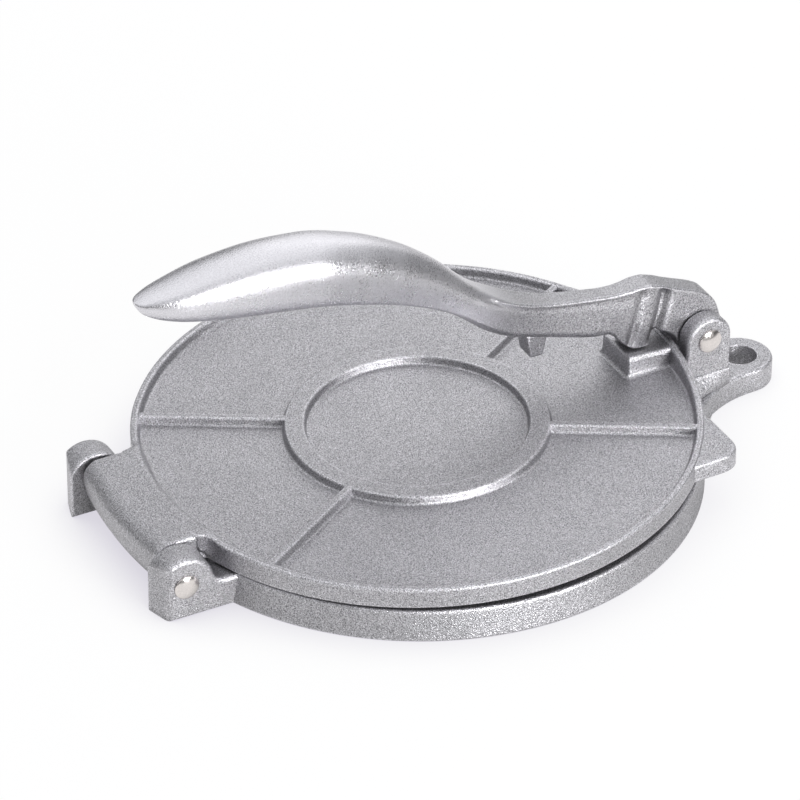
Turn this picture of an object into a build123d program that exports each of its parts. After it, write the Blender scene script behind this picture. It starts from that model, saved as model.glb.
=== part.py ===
from build123d import *
from math import asin, atan, cos, degrees, radians, sin, sqrt
import os

# A cast dough press: a round base, a lid hinged behind it and a lever that presses the lid.
# Origin: centre of the base disc on the surface it stands on. Hinge towards -X, lever pivot
# towards +X, +Z up. Millimetres throughout.

os.makedirs("parts", exist_ok=True)

# Base disc: how far its top edge lies inside the lid's, and how far its foot flares out
base_height = 11.8
base_top_inset = 0.8
base_foot_flare = 1.7

# Hinge ears on the base, and how far the axis that the lid turns on lies behind the lid
hinge_setback = 9.8
hinge_z = 13.0
ear_inner = 30.5
ear_thickness = 11.0
ear_radius = 10.9
ear_overhang = 23.4
ear_hollow_radius = 5.0
ear_edge_round = 1.2
ear_flange_inset = 13.6

# Lever ears on the base, and how far the axis that the lever turns on lies beyond the lid
pivot_setback = 10.5
pivot_z = 29.4
fork_inner = 6.6
fork_thickness = 6.7
fork_radius = 9.15
fork_root_depth = 1.0
gusset_height = 15.5
gusset_slope_spread = 8.0
gusset_lip = 0.1

# Hanging tab behind the lever, its hole at the centre of its round end
tab_height = 9.35
tab_reach = 21.4
tab_end_radius = 12.0
tab_flank_radius = 42.5
tab_flank_sweep = 62.0
hang_hole_radius = 6.2

# Lid plate and rim
lid_radius = 101.6
lid_gap_closed = 0.32
lid_rest_tilt = 1.35
plate_thickness = 4.5
rim_depth = 3.2
rim_top_width = 2.6
rim_draft_run = 0.8

# Ring, recess and ribs on top of the lid
ring_radius = 47.0
ring_height = 3.0
ring_draft_run = 0.8
recess_radius = 40.0
recess_draft_run = 0.6
rib_angle = 31.3
rib_half_width = 1.3
rib_draft_run = 0.85

# Raised stretches of the rim, at the pad and at the hinge lug
pad_rise = 4.2
pad_rise_shoulder = 2.0
pad_rise_shoulder_y = 29.0
pad_rise_end_y = 47.5
lug_rise = 1.0
lug_rise_flat_y = 44.0
lug_rise_end_y = 60.0

# Pad that the lever presses on
pad_edge_inset = 1.2
pad_length = 19.9
pad_half_width = 9.9
pad_inner_height = 11.65
pad_outer_height = 10.2
pad_draft_run = 0.5
pad_cut_margin = 5.0

# Hinge lug on the lid; the back is given by x and height from the pin axis
lug_side_gap = 1.3
lug_radius = 10.2
lug_relief_gap = 0.9
lug_top_reach = 2.8
lug_back = [(-6.9, 7.8), (-7.5, 2.0), (-6.4, -4.0)]
lug_flare_radius = 6.0

# Finger tab on the lid
finger_edge_inset = 10.2
finger_front_inset = 29.1
finger_corner_radius = 6.0
finger_thickness = 7.0
finger_drop = 0.2

# Pins
pin_radius = 3.6
pin_clearance = 0.05
pin_head_radius = 4.6
pin_head_edge = 0.5
pin_head_dome = 1.2

# Lever: hub, cam nub and tooth. Distances back are measured from the pivot towards the hinge
hub_side_gap = 0.4
hub_radius = 9.2
hub_arc_start = 190.0
hub_arc_sweep = 190.0
head_draft_low_z = 38.0
head_draft_top_z = 56.0
head_draft_run = 2.0
nub_pad_gap = 0.3
nub_back = 24.1
nub_radius = 5.9
nub_flank_angle = 48.0
nub_flank_length = 11.0
nub_arc_end = 350.0
crest_back = 21.1
crest_z = 54.0
tooth_back = 66.3
tooth_bottom_z = 36.8
tooth_root_z = 47.5
tooth_half_length = 2.6
tooth_root_half_length = 4.6
tooth_half_width = 4.0
tooth_round = 1.8

# Corners of the head's outline: back of the hub from the pivot, waist between nub and hub from
# the nub's centre, and the hidden front from the nub's centre and from the crest
hub_back = [(7.4, 9.0), (4.4, 13.5), (-0.7, 16.6), (-12.5, 21.5)]
waist = [(9.0, -1.8), (13.0, -4.4)]
front_from_nub = (-10.0, 6.0)
front_from_crest = (-5.0, -2.0)

# Handle stations: x from the pivot, top, widest height, lower edge height, underside, half
# width, half width at the lower edge
handle_stations = [
    (-221.4, 104.2, 103.6, 102.9, 102.7, 1.3, 0.9),
    (-219.9, 105.0, 103.2, 101.0, 100.4, 3.4, 2.5),
    (-215.6, 106.2, 102.6, 98.6, 97.7, 6.4, 4.9),
    (-207.1, 108.2, 101.8, 96.2, 95.0, 9.6, 7.7),
    (-193.1, 111.0, 100.5, 94.0, 92.7, 12.0, 10.1),
    (-175.1, 112.5, 98.4, 91.8, 90.5, 13.3, 11.6),
    (-156.1, 111.0, 94.8, 88.9, 87.9, 13.4, 11.9),
    (-138.1, 106.3, 89.6, 84.0, 83.1, 12.0, 10.8),
    (-120.1, 97.7, 82.8, 77.6, 76.8, 10.0, 9.0),
    (-104.1, 85.7, 74.4, 69.4, 68.6, 8.2, 7.2),
    (-94.1, 75.8, 67.2, 62.9, 62.0, 6.9, 6.0),
    (-83.1, 65.2, 59.2, 55.6, 54.6, 4.6, 3.9),
]

# Arm stations: x from the pivot, top, side edge height, underside, half widths of top, side
# edge and underside
arm_stations = [
    (-108.1, 81.0, 76.5, 75.4, 5.6, 5.4, 4.4),
    (-98.1, 73.9, 66.8, 64.6, 7.1, 6.9, 5.6),
    (-89.1, 68.7, 59.6, 56.2, 7.4, 6.9, 5.3),
    (-77.1, 63.4, 51.6, 49.4, 6.1, 6.4, 5.0),
    (-62.1, 58.0, 46.9, 44.6, 4.7, 6.1, 4.9),
    (-44.1, 54.7, 41.4, 39.2, 3.9, 6.0, 4.9),
    (-24.1, 52.6, 38.5, 36.0, 3.3, 5.0, 4.4),
]

# Places worked out from the sizes above
base_top_radius = lid_radius - base_top_inset
base_foot_radius = base_top_radius + base_foot_flare
hinge_reach = lid_radius + hinge_setback
hinge_x = -hinge_reach
ear_outer = ear_inner + ear_thickness
ear_back_radius = lid_radius + ear_overhang
ear_flange_end_x = ear_flange_inset - lid_radius
pivot_x = lid_radius + pivot_setback
fork_outer = fork_inner + fork_thickness
tab_end_x = pivot_x + tab_reach
pad_outer_x = lid_radius - pad_edge_inset
pad_inner_x = pad_outer_x - pad_length
nub_x = pivot_x - nub_back
crest_x = pivot_x - crest_back
tooth_x = pivot_x - tooth_back
lug_half_width = ear_inner - lug_side_gap
lug_flare_y = (lug_half_width + lug_flare_radius) * lid_radius / (lid_radius + lug_flare_radius)
hub_half_width = fork_inner - hub_side_gap
lid_under = base_height + lid_gap_closed - hinge_z
lid_floor = lid_under + plate_thickness
rim_top = lid_floor + rim_depth
rim_inner_radius = lid_radius - rim_top_width
pin_bore_radius = pin_radius + pin_clearance

# Plane of the lid at rest: its origin is over the disc centre at the height of the hinge axis
lid_direction = (cos(radians(lid_rest_tilt)), 0, sin(radians(lid_rest_tilt)))
lid_normal = (-sin(radians(lid_rest_tilt)), 0, cos(radians(lid_rest_tilt)))
lid_centre = (hinge_x + hinge_reach * lid_direction[0], 0, hinge_z + hinge_reach * lid_direction[2])
lid_plane = Plane(origin=lid_centre, x_dir=lid_direction, z_dir=lid_normal)
lid_side = Plane(origin=lid_centre, x_dir=lid_direction, z_dir=(0, -1, 0))
lid_front = Plane(origin=lid_centre, x_dir=(0, 1, 0), z_dir=lid_direction)


def taper_for(run, height):
    """Draft angle that moves a wall by run over height."""
    return degrees(atan(run / height))


def rod_along_y(centre_x, centre_z, radius, half_length):
    """Round bar along Y, centred on Y = 0, for bores and reliefs."""
    with BuildSketch(Plane.XZ) as section:
        with Locations((centre_x, centre_z)):
            Circle(radius)
    return extrude(section.sketch, amount=half_length, both=True, mode=Mode.PRIVATE)


# Hinge ears of the base: one side profile, trimmed in plan to two ears with a curved back
hollow_rise = base_height + ear_hollow_radius - hinge_z
hollow_reach = sqrt((ear_radius + ear_hollow_radius) ** 2 - hollow_rise**2)
hollow_angle = degrees(atan(hollow_rise / hollow_reach))
with BuildPart() as ears:
    with BuildSketch(Plane.XZ):
        with BuildLine():
            crown = CenterArc((hinge_x, hinge_z), ear_radius, hollow_angle, 180 - hollow_angle)
            hollow = CenterArc(
                (hinge_x + hollow_reach, base_height + ear_hollow_radius),
                ear_hollow_radius,
                180 + hollow_angle,
                90 - hollow_angle,
            )
            Polyline(
                hollow @ 1,
                (ear_flange_end_x, base_height),
                (ear_flange_end_x, 0),
                (hinge_x - ear_radius, 0),
                crown @ 1,
            )
        make_face()
    extrude(amount=ear_outer, both=True)
    with BuildSketch():
        Circle(ear_back_radius)
        Rectangle(2 * ear_back_radius, 2 * ear_inner, mode=Mode.SUBTRACT)
    extrude(amount=hinge_z + ear_radius, mode=Mode.INTERSECT)
    ear_faces = ears.faces().filter_by(Axis.Y)
    outer_faces = [ear_faces.sort_by(Axis.Y)[0], ear_faces.sort_by(Axis.Y)[-1]]
    outer_edges = ShapeList([edge for face in outer_faces for edge in face.edges()])
    fillet(outer_edges.filter_by(lambda edge: edge.center().Z > ear_edge_round), ear_edge_round)

# Fork of the base: two ears round the lever pivot, each spread at its foot onto the tab
fork_root_z = tab_height - fork_root_depth
gusset_start = pivot_x - fork_radius
gusset_end = pivot_x + fork_radius
with BuildPart() as fork:
    with BuildSketch(Plane.XZ.offset(fork_inner)):
        with Locations((pivot_x, pivot_z)):
            Circle(fork_radius)
        with Locations((pivot_x, fork_root_z)):
            Rectangle(2 * fork_radius, pivot_z - fork_root_z, align=(Align.CENTER, Align.MIN))
    extrude(amount=fork_thickness)
    for height, spread in ((fork_root_z, gusset_slope_spread), (gusset_height, gusset_lip)):
        with BuildSketch(Plane.XY.offset(height)):
            with BuildLine():
                Polyline(
                    (gusset_start, -fork_inner),
                    (gusset_start, -fork_outer - spread),
                    (gusset_end, -fork_outer),
                    (gusset_end, -fork_inner),
                    close=True,
                )
            make_face()
    loft()
    mirror(about=Plane.XZ)

# Base: one casting with the disc, two hinge ears, a fork for the lever and the hanging tab
with BuildPart() as base:
    # Disc, drawn as a half section and turned
    with BuildSketch(Plane.XZ):
        with BuildLine():
            Polyline(
                (0, 0),
                (base_foot_radius, 0),
                (base_top_radius, base_height),
                (0, base_height),
                close=True,
            )
        make_face()
    revolve(axis=Axis.Z)

    # Hanging tab: a round end whose flanks flare into the disc
    flank_y = tab_end_radius + tab_flank_radius
    with BuildSketch():
        with BuildLine():
            near_flank = CenterArc((tab_end_x, -flank_y), tab_flank_radius, 90, tab_flank_sweep)
            far_flank = CenterArc(
                (tab_end_x, flank_y), tab_flank_radius, 270 - tab_flank_sweep, tab_flank_sweep
            )
            RadiusArc(near_flank @ 0, far_flank @ 1, -tab_end_radius)
            Line(near_flank @ 1, far_flank @ 0)
        make_face()
    extrude(amount=tab_height)
    add(ears.part)
    add(fork.part)

    # Relief behind the lid lug, pin bores and hanging hole
    relief_radius = lug_radius + lug_relief_gap
    add(rod_along_y(hinge_x, hinge_z, relief_radius, ear_inner), mode=Mode.SUBTRACT)
    add(rod_along_y(hinge_x, hinge_z, pin_bore_radius, ear_back_radius), mode=Mode.SUBTRACT)
    add(rod_along_y(pivot_x, pivot_z, pin_bore_radius, ear_back_radius), mode=Mode.SUBTRACT)
    with Locations((tab_end_x, 0, tab_height)):
        Hole(hang_hole_radius)


# Raised stretches of the rim, at the pad and at the lug: drawn from the front as places across
# and heights over the rim, and trimmed to the rim in plan
pad_rise_line = [
    (-pad_rise_end_y, 0),
    (-pad_rise_shoulder_y, pad_rise_shoulder),
    (0, pad_rise),
    (pad_rise_shoulder_y, pad_rise_shoulder),
    (pad_rise_end_y, 0),
]
lug_rise_line = [
    (-lug_rise_end_y, 0),
    (-lug_rise_flat_y, lug_rise),
    (lug_rise_flat_y, lug_rise),
    (lug_rise_end_y, 0),
]
with BuildPart() as rim_rises:
    for rise_line, reach in ((pad_rise_line, lid_radius), (lug_rise_line, -lid_radius)):
        end_y = rise_line[-1][0]
        with BuildSketch(lid_front):
            with BuildLine():
                rise = Spline(
                    *[(y, rim_top + height) for y, height in rise_line],
                    tangents=[(1, 0), (1, 0)],
                )
                Polyline(rise @ 1, (end_y, lid_floor), (-end_y, lid_floor), rise @ 0)
            make_face()
        extrude(amount=reach)
    with BuildSketch(lid_plane.offset(lid_floor)):
        Circle(lid_radius)
        Circle(rim_inner_radius, mode=Mode.SUBTRACT)
    extrude(amount=rim_depth + pad_rise, mode=Mode.INTERSECT)

# Hinge lug of the lid: a side profile round the pin, and a tongue that flares onto the rim
with BuildPart() as lug:
    with BuildSketch(lid_side):
        with BuildLine():
            lug_top = (-hinge_reach - lug_top_reach, lug_radius)
            back = Spline(
                lug_top,
                *[(x - hinge_reach, height) for x, height in lug_back],
                (-hinge_reach, -lug_radius),
                tangents=[(-1, 0), (1, 0)],
            )
            belly = CenterArc((-hinge_reach, 0), lug_radius, 270, 90)
            Polyline(belly @ 1, (lug_radius - hinge_reach, lug_radius), lug_top)
        make_face()
    extrude(amount=lug_half_width, both=True)
    with BuildSketch(lid_plane.offset(lid_under)):
        with Locations((-hinge_reach, 0)):
            Rectangle(hinge_reach, 2 * lug_half_width, align=(Align.MIN, Align.CENTER))
        Circle(rim_inner_radius, mode=Mode.SUBTRACT)
    extrude(amount=lug_radius - lid_under)
    with BuildSketch(lid_plane.offset(lid_floor)) as flare_plan:
        with Locations((-hinge_reach, 0)):
            Rectangle(hinge_reach, 2 * lug_half_width, align=(Align.MIN, Align.CENTER))
        Circle(lid_radius)
        fillet(flare_plan.vertices().sort_by(Axis.X)[2:4], lug_flare_radius)
        Circle(rim_inner_radius, mode=Mode.SUBTRACT)
        with Locations((-hinge_reach, 0)):
            Rectangle(
                hinge_reach, 2 * lug_flare_y, align=(Align.MIN, Align.CENTER), mode=Mode.INTERSECT
            )
    extrude(amount=lug_radius - lid_floor)

# Lid: plate with a raised rim, a ring and four ribs, the pad, the hinge lug and a finger tab
with BuildPart() as lid:
    # Plate and rim, hollowed from above
    with BuildSketch(lid_plane.offset(lid_under)):
        Circle(lid_radius)
    extrude(amount=rim_top - lid_under)
    with BuildSketch(lid_plane.offset(lid_floor)):
        Circle(rim_inner_radius - rim_draft_run)
    extrude(amount=rim_depth, taper=-taper_for(rim_draft_run, rim_depth), mode=Mode.SUBTRACT)
    add(rim_rises.part)

    # Ring with its recess
    with BuildSketch(lid_plane.offset(lid_floor)):
        Circle(ring_radius + ring_draft_run)
    extrude(amount=ring_height, taper=taper_for(ring_draft_run, ring_height))
    with BuildSketch(lid_plane.offset(lid_floor)):
        Circle(recess_radius - recess_draft_run)
    extrude(amount=ring_height, taper=-taper_for(recess_draft_run, ring_height), mode=Mode.SUBTRACT)

    # Four ribs from the ring to the rim
    rib_start = 0.5 * (recess_radius + ring_radius)
    rib_end = lid_radius - 0.5 * rim_top_width
    with BuildSketch(lid_plane.offset(lid_floor)):
        for angle in (rib_angle, 180 - rib_angle, 180 + rib_angle, -rib_angle):
            with PolarLocations(0.5 * (rib_start + rib_end), 1, start_angle=angle):
                Rectangle(rib_end - rib_start, 2 * (rib_half_width + rib_draft_run))
    extrude(amount=ring_height, taper=taper_for(rib_draft_run, ring_height))

    # Pad: a block with a sloping top, drafted at its sides, that ends inside the rim
    pad_rise_over_floor = pad_inner_height - lid_floor
    with BuildSketch(lid_plane.offset(lid_floor)):
        with Locations((pad_inner_x, 0)):
            Rectangle(pad_length, 2 * pad_half_width, align=(Align.MIN, Align.CENTER))
    extrude(amount=pad_rise_over_floor, taper=taper_for(pad_draft_run, pad_rise_over_floor))
    pad_cut_start = pad_inner_x - pad_cut_margin
    pad_cut_end = lid_radius + pad_cut_margin
    pad_cut_top = pad_inner_height + pad_cut_margin
    with BuildSketch(lid_side):
        with BuildLine():
            Polyline(
                (pad_cut_start, pad_inner_height),
                (pad_inner_x + pad_draft_run, pad_inner_height),
                (lid_radius, pad_outer_height),
                (pad_cut_end, pad_outer_height),
                (pad_cut_end, pad_cut_top),
                (pad_cut_start, pad_cut_top),
                close=True,
            )
        make_face()
    extrude(amount=lid_radius, both=True, mode=Mode.SUBTRACT)
    add(lug.part)

    # Finger tab: a rounded corner that stands out of the disc at the front
    with BuildSketch(lid_plane.offset(lid_under + finger_drop)) as finger_plan:
        Rectangle(
            lid_radius - finger_edge_inset,
            lid_radius - finger_front_inset,
            align=(Align.MIN, Align.MAX),
        )
        fillet(finger_plan.vertices().sort_by(lambda v: v.X - v.Y)[-1], finger_corner_radius)
        Circle(lid_radius - 0.5 * rim_top_width, mode=Mode.SUBTRACT)
    extrude(amount=finger_thickness)

    # Bore for the hinge pin
    add(rod_along_y(hinge_x, hinge_z, pin_bore_radius, lug_half_width), mode=Mode.SUBTRACT)


# Head of the lever: the cam nub that rolls on the pad, and the hub round the pivot pin
pad_slope = (pad_inner_height - pad_outer_height) / (lid_radius - pad_inner_x - pad_draft_run)
pad_height_at_nub = pad_inner_height - pad_slope * (nub_x - pad_inner_x - pad_draft_run)
nub_drop = (nub_x + hinge_reach) * lid_direction[2] + pad_height_at_nub
nub_z = hinge_z + nub_drop + nub_pad_gap + nub_radius
with BuildPart() as head:
    with BuildSketch(Plane.XZ):
        with BuildLine():
            nub_arc_start = 180 + nub_flank_angle
            lobe = CenterArc((nub_x, nub_z), nub_radius, nub_arc_start, nub_arc_end - nub_arc_start)
            hub = CenterArc((pivot_x, pivot_z), hub_radius, hub_arc_start, hub_arc_sweep)
            back = Spline(
                hub @ 1,
                *[(pivot_x + x, pivot_z + z) for x, z in hub_back],
                (crest_x, crest_z),
                tangents=[(0, 1), (-1, 0)],
            )
            flank = PolarLine(lobe @ 0, nub_flank_length, 90 + nub_flank_angle)
            Polyline(lobe @ 1, *[(nub_x + x, nub_z + z) for x, z in waist], hub @ 0)
            Polyline(
                flank @ 1,
                (nub_x + front_from_nub[0], nub_z + front_from_nub[1]),
                (crest_x + front_from_crest[0], crest_z + front_from_crest[1]),
                back @ 1,
            )
        make_face()
    extrude(amount=hub_half_width, both=True)
    with BuildSketch(Plane.YZ) as draft_section:
        with BuildLine():
            Polyline(
                (-hub_half_width, 0),
                (hub_half_width, 0),
                (hub_half_width, head_draft_low_z),
                (hub_half_width - head_draft_run, head_draft_top_z),
                (-hub_half_width + head_draft_run, head_draft_top_z),
                (-hub_half_width, head_draft_low_z),
                close=True,
            )
        make_face()
    extrude(amount=tab_end_x, mode=Mode.INTERSECT)

# Tooth under the arm
with BuildPart() as tooth:
    with BuildSketch(Plane.XZ):
        with BuildLine():
            Polyline(
                (tooth_x - tooth_root_half_length, tooth_root_z),
                (tooth_x + tooth_root_half_length, tooth_root_z),
                (tooth_x + tooth_half_length, tooth_bottom_z),
                (tooth_x - tooth_half_length, tooth_bottom_z),
                close=True,
            )
        make_face()
    extrude(amount=tooth_half_width, both=True)
    fillet(tooth.faces().sort_by(Axis.Z)[0].edges(), tooth_round)

# Lever: a swelling handle, an arm with a flat top, the head and the tooth
with BuildPart() as lever:
    for x, top, side, under, top_half, side_half, under_half in arm_stations:
        with BuildSketch(Plane.YZ.offset(pivot_x + x)):
            with BuildLine():
                Polyline(
                    (top_half, top),
                    (side_half, side),
                    (under_half, under),
                    (-under_half, under),
                    (-side_half, side),
                    (-top_half, top),
                    close=True,
                )
            make_face()
    loft()
    add(head.part)
    for x, top, middle, edge, under, half, edge_half in handle_stations:
        with BuildSketch(Plane.YZ.offset(pivot_x + x)):
            with BuildLine():
                Spline(
                    (0, top),
                    (half, middle),
                    (edge_half, edge),
                    (0, under),
                    (-edge_half, edge),
                    (-half, middle),
                    periodic=True,
                )
            make_face()
    loft()
    add(tooth.part)
    add(rod_along_y(pivot_x, pivot_z, pin_bore_radius, fork_outer), mode=Mode.SUBTRACT)


def rivet(centre_x, centre_z, half_grip):
    """Pin along Y with a spherical dome at each end, its heads seated at half_grip."""
    head_face = half_grip + pin_head_edge
    tip = head_face + pin_head_dome
    dome_radius = (pin_head_radius**2 + pin_head_dome**2) / (2 * pin_head_dome)
    dome_angle = degrees(asin(pin_head_radius / dome_radius))
    with BuildPart() as pin:
        with BuildSketch(Plane(origin=(centre_x, 0, centre_z), x_dir=(0, 1, 0), z_dir=(1, 0, 0))):
            with BuildLine():
                far_dome = CenterArc((tip - dome_radius, 0), dome_radius, 0, dome_angle)
                near_dome = CenterArc((dome_radius - tip, 0), dome_radius, 180 - dome_angle, dome_angle)
                Line(far_dome @ 0, near_dome @ 1)
                Polyline(
                    near_dome @ 0,
                    (-half_grip, pin_head_radius),
                    (-half_grip, pin_radius),
                    (half_grip, pin_radius),
                    (half_grip, pin_head_radius),
                    far_dome @ 1,
                )
            make_face()
        revolve(axis=Axis((centre_x, 0, centre_z), (0, 1, 0)))
    return pin


hinge_pin = rivet(hinge_x, hinge_z, ear_outer)
lever_pin = rivet(pivot_x, pivot_z, fork_outer)

base.part.label = "base"
lid.part.label = "lid"
lever.part.label = "lever"
hinge_pin.part.label = "hinge_pin"
lever_pin.part.label = "lever_pin"

for piece in (base, lid, lever, hinge_pin, lever_pin):
    export_step(piece.part, f"parts/{piece.part.label}.step")
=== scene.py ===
import logging
import math
from dataclasses import dataclass
from enum import Enum
from typing import ClassVar

import bmesh
import bpy
import numpy as np
from mathutils import Matrix, Vector


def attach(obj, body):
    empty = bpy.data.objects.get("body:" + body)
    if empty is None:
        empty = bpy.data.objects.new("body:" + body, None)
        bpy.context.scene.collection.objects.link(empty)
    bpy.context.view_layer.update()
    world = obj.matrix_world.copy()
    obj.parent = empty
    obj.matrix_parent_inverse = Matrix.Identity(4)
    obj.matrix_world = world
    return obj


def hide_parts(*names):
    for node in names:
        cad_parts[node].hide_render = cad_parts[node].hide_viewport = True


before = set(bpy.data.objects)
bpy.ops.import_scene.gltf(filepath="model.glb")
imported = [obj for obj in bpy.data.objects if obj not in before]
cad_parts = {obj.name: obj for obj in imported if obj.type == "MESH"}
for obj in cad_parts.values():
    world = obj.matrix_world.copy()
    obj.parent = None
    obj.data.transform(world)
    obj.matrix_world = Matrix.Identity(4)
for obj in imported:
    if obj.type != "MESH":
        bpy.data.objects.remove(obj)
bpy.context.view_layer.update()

log = logging.getLogger("dough_press")

MM = 0.001
IMAGE_SIZE = 800
SENSOR_WIDTH = 36.0
FULL_TURN = 2 * math.pi
SIDES = ((-1, "near"), (1, "far"))
FOOT_SHARE = 0.6
SAME_POINT = 2e-6
NO_LENGTH = 1e-7
TINY = 1e-9
TINY_SQUARE = 1e-14

Material = bpy.types.Material
Socket = bpy.types.NodeSocket


# Shared values of the press, in millimetres, as the castings were measured


@dataclass(frozen=True)
class Layout:
    """Sizes and places that several castings share, in millimetres."""

    hinge_x: float = -111.4
    hinge_z: float = 13.0
    pivot_x: float = 112.1
    pivot_z: float = 29.4
    base_height: float = 11.8
    base_top_radius: float = 100.8
    lid_radius: float = 101.6
    lid_gap: float = 0.32
    lid_tilt: float = math.radians(1.35)
    plate_thickness: float = 4.5
    rim_depth: float = 3.2
    ear_inner: float = 30.5
    ear_thickness: float = 11.0
    lug_side_gap: float = 1.3
    fork_inner: float = 6.6
    fork_thickness: float = 6.7

    @property
    def hinge_reach(self) -> float:
        """Distance from the hinge axis to the middle of the disc."""
        return -self.hinge_x

    @property
    def lid_under(self) -> float:
        """Height of the lid's underside over the hinge axis, square to the plate."""
        return self.base_height + self.lid_gap - self.hinge_z

    @property
    def lid_floor(self) -> float:
        """Height of the lid's floor over the hinge axis, square to the plate."""
        return self.lid_under + self.plate_thickness

    @property
    def rim_top(self) -> float:
        """Height of the rim over the hinge axis, square to the plate."""
        return self.lid_floor + self.rim_depth

    @property
    def lug_half(self) -> float:
        """Half width of the lid's hinge lug."""
        return self.ear_inner - self.lug_side_gap

    def lid_to_press(self, points: np.ndarray) -> np.ndarray:
        """Carries points of the lid's own frame to the press's frame.

        The lid's frame starts over the disc's middle at the hinge's height and leans by the
        lid's tilt: its x runs along the plate, its z along the plate's normal.

        Args:
            points: Array (..., 3) in the lid's frame, in millimetres.

        Returns:
            Array (..., 3) in the press's frame, in millimetres.
        """
        c, s = math.cos(self.lid_tilt), math.sin(self.lid_tilt)
        reach, up = self.hinge_reach + points[..., 0], points[..., 2]
        return joined(self.hinge_x + reach * c - up * s, points[..., 1], self.hinge_z + reach * s + up * c)


SIZES = Layout()


class Body(Enum):
    """CAD bodies that the pieces ride on."""

    BASE = "base_body"
    LID = "lid_body"
    LEVER = "lever_body"


class Slot(Enum):
    """Material slots of the record."""

    BASE = "cast_base"
    LID = "cast_lid"
    LEVER = "polished_lever"
    PIN = "steel_pin"


# Shapes worked out as whole arrays


def joined(*values: object) -> np.ndarray:
    """Values that fit each other, put together as coordinates along a last axis."""
    return np.stack(np.broadcast_arrays(*values), axis=-1)


def between(start: object, stop: object, share: object) -> np.ndarray:
    """Value that goes evenly from start at share 0 to stop at share 1."""
    return start + (stop - start) * share


def smooth_step(value: np.ndarray, low: float, high: float) -> np.ndarray:
    """Rises from 0 at low to 1 at high as 3t^2 - 2t^3."""
    t = np.clip((value - low) / (high - low), 0.0, 1.0)
    return t * t * (3 - 2 * t)


def circle(x: float, z: float, radius: object, turn: np.ndarray) -> np.ndarray:
    """Points x + radius cos(turn) and z + radius sin(turn)."""
    return joined(x + radius * np.cos(turn), z + radius * np.sin(turn))


def quarter(count: int = 7) -> tuple[np.ndarray, np.ndarray]:
    """1 - cos t, which rises from 0 to 1 over a quarter turn, and 1 - sin t, which falls."""
    turn = np.linspace(0, math.pi / 2, count)
    return 1 - np.cos(turn), 1 - np.sin(turn)


def slab_edge(low: float, high: float, ease: float) -> np.ndarray:
    """Side of a slab as insets and heights: a small quarter circle at its foot, a full one at its top.

    Args:
        low: Height of the underside.
        high: Height of the top.
        ease: Radius of the top's rounding.

    Returns:
        Array (14, 2), from the underside to the top.
    """
    rise, fall = quarter()
    foot = FOOT_SHARE * ease
    return np.concatenate([joined(foot * fall, low + foot * rise), joined(ease * rise, high - ease * fall)])


def layers(start: float, stop: float, first_ease: float, last_ease: float, inner: int = 6) -> tuple:
    """Layers across a block with rounded edges.

    Args:
        start: Place of the first layer.
        stop: Place of the last layer.
        first_ease: Radius of the edge at the first layer.
        last_ease: Radius of the edge at the last layer.
        inner: Layers from the end of one rounding to the start of the other.

    Returns:
        Arrays of the same length: places of the layers, and how far each outline draws in.
    """
    rise, fall = quarter(8)
    way = math.copysign(1.0, stop - start)
    first = start + way * first_ease * fall[::-1]
    last = stop - way * last_ease * fall
    middle = np.linspace(first[-1], last[0], inner)[1:-1]
    inset = np.concatenate([first_ease * rise[::-1], 0 * middle, last_ease * rise])
    return np.concatenate([first, middle, last]), inset


def flowing(keys: np.ndarray, values: np.ndarray, wanted: np.ndarray) -> np.ndarray:
    """Cubic curve through values that never swings past its neighbours.

    Each stretch is a Hermite cubic; the slope at a key is the harmonic mean of the slopes on
    both sides, or 0 where they differ in sign.

    Args:
        keys: Rising key places (K,).
        values: Values at the keys (K, ...).
        wanted: Places to work out (W,).

    Returns:
        Array (W, ...).
    """
    shape = (-1,) + (1,) * (values.ndim - 1)
    step = np.diff(keys).reshape(shape)
    rate = np.diff(values, axis=0) / step
    product = rate[:-1] * rate[1:]
    total = np.where(product > 0, rate[:-1] + rate[1:], 1.0)
    inner = np.where(product > 0, 2 * product / total, 0.0)
    slope = np.concatenate([rate[:1], inner, rate[-1:]], axis=0)
    at = np.clip(np.searchsorted(keys, wanted, side="right") - 1, 0, len(keys) - 2)
    width = step[at]
    t = (wanted.reshape(shape) - keys[at].reshape(shape)) / width
    return (
        (2 * t**3 - 3 * t**2 + 1) * values[at]
        + (t**3 - 2 * t**2 + t) * width * slope[at]
        + (3 * t**2 - 2 * t**3) * values[at + 1]
        + (t**3 - t**2) * width * slope[at + 1]
    )


def at_heights(plans: np.ndarray, z: np.ndarray) -> np.ndarray:
    """Rings (R, C, 3) from outlines in plan and the height of each point or ring."""
    return joined(plans[..., 0], plans[..., 1], z)


def across_press(outlines: np.ndarray, y: np.ndarray) -> np.ndarray:
    """Rings (R, C, 3) from side outlines and the place across the press of each."""
    return joined(outlines[..., 0], y, outlines[..., 1])


def rectangle(x0: object, x1: object, y0: object, y1: object) -> np.ndarray:
    """Corners (..., 4, 2) of rectangles with those sides."""
    return np.stack([joined(x0, y0), joined(x1, y0), joined(x1, y1), joined(x0, y1)], axis=-2)


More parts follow.
